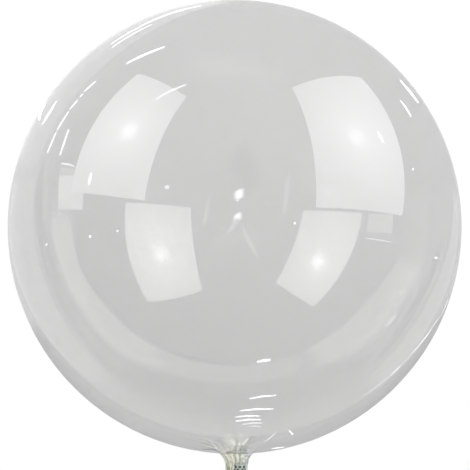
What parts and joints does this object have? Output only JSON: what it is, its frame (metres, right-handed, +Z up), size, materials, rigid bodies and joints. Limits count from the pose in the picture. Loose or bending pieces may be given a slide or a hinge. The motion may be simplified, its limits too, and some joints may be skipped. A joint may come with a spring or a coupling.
{
  "type": "clear bubble balloon",
  "caption": "Round clear film balloon lying on its side, with a gathered neck tied round a small fitting and a short flared tail.",
  "frame": {"origin": "centre of the small flat spot that the balloon rests on", "axes": "+Z up, away from the surface that it lies on; -Y along the neck, towards its tail; +X to the right, seen from above with the neck towards the viewer"},
  "size_m": [0.5, 0.565, 0.4985],
  "materials": {
    "clear_film": "clear, smooth and glossy plastic film",
    "plug_plastic": "pale blue-grey, slightly cloudy moulded plastic",
    "tie_cord": "dark twisted cord"
  },
  "bodies": {
    "root": {"balloon_film": "clear_film", "neck_plug": "plug_plastic", "neck_tie": "tie_cord"}
  },
  "joints": []
}
